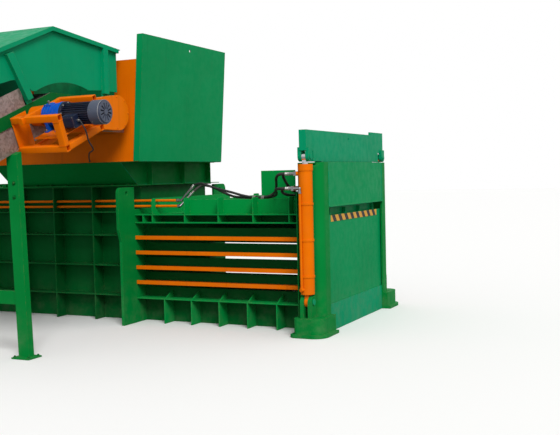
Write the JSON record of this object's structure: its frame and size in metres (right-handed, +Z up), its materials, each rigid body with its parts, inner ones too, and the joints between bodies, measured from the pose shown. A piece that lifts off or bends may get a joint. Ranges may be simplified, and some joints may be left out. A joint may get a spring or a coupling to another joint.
{
  "type": "recycling baler",
  "caption": "Horizontal recycling baler: hydraulic ram channel with side ties, lifting end gate, feed hopper and the hooded head of its infeed conveyor.",
  "frame": {"origin": "on the ground, on the centreline, at the portal plate between the feed box and the bale chamber", "axes": "+X along the machine towards the lifting gate, +Y across it away from the conveyor, +Z up"},
  "size_m": [6.1, 4.3938, 2.835],
  "materials": {
    "green_paint": "satin, worn",
    "orange_paint": "satin, worn",
    "blue_paint": "satin",
    "navy_paint": "satin",
    "cowl_paint": "satin",
    "hazard_paint": "black and amber stripes",
    "galvanised": "dull galvanised",
    "bare_steel": "machined",
    "chromed": "polished",
    "rubber_black": "matte"
  },
  "bodies": {
    "frame": {"portal_plate": "green_paint", "side_wall_front": "green_paint", "side_wall_rear": "green_paint", "channel_floor": "green_paint", "chamber_walls": "green_paint", "chamber_base": "green_paint", "top_ladder": "green_paint", "tie_bars": "orange_paint", "chamber_roof": "green_paint", "roof_beams": "green_paint", "end_flange": "green_paint", "tail_plate": "green_paint", "housing_roof": "green_paint", "guide_rails": "bare_steel", "fixed_knife": "bare_steel", "feed_end": "green_paint", "main_cylinder": "orange_paint", "main_gland": "bare_steel", "sill": "green_paint", "tower_posts": "green_paint", "end_plate": "green_paint", "gate_guides": "green_paint", "tower_feet": "green_paint", "lift_barrels": "orange_paint", "lift_glands": "orange_paint", "lower_pins": "bare_steel", "barrel_tubes": "orange_paint", "oil_pipes": "orange_paint", "pipe_fittings": "bare_steel", "hose_upper": "rubber_black", "hose_lower": "rubber_black", "hose_cross_upper": "rubber_black", "hose_cross_lower": "rubber_black", "hopper_front": "orange_paint", "hopper_end": "green_paint", "hopper_back": "green_paint", "hopper_left": "green_paint", "hopper_neck": "green_paint", "conveyor_sides": "galvanised", "conveyor_rails": "green_paint", "conveyor_belt": "rubber_black", "chain_guard": "orange_paint", "motor_bracket": "orange_paint", "gearbox": "blue_paint", "motor": "navy_paint", "fan_cowl": "cowl_paint", "hood": "green_paint", "conveyor_leg": "green_paint", "motor_cable": "rubber_black"},
    "ram": {"ram": "orange_paint", "ram_knife": "bare_steel", "ram_shoes": "bare_steel", "ram_rod": "chromed"},
    "gate": {"gate": "green_paint", "hazard_strip": "hazard_paint", "gate_beam": "green_paint", "lift_rods": "chromed", "upper_pins": "bare_steel"},
    "head_drum": {"head_drum": "bare_steel"},
    "tail_drum": {"tail_drum": "bare_steel"}
  },
  "joints": [
    {"name": "ram_slide", "type": "slide", "parent": "frame", "child": "ram", "axis": [1, 0, 0], "range_m": [0, 1.9]},
    {"name": "gate_lift", "type": "slide", "parent": "frame", "child": "gate", "axis": [0, 0, 1], "range_m": [0, 0.85]},
    {"name": "head_drum_turn", "type": "hinge", "parent": "frame", "child": "head_drum", "pos_m": [0, -1.29, 2.075], "axis": [1, 0, 0], "continuous": true},
    {"name": "tail_drum_turn", "type": "hinge", "parent": "frame", "child": "tail_drum", "pos_m": [0, -3.07354, 1.68166], "axis": [1, 0, 0], "continuous": true}
  ],
  "couplings": [
    {"joint": "tail_drum_turn", "follows": "head_drum_turn", "ratio": 1}
  ]
}
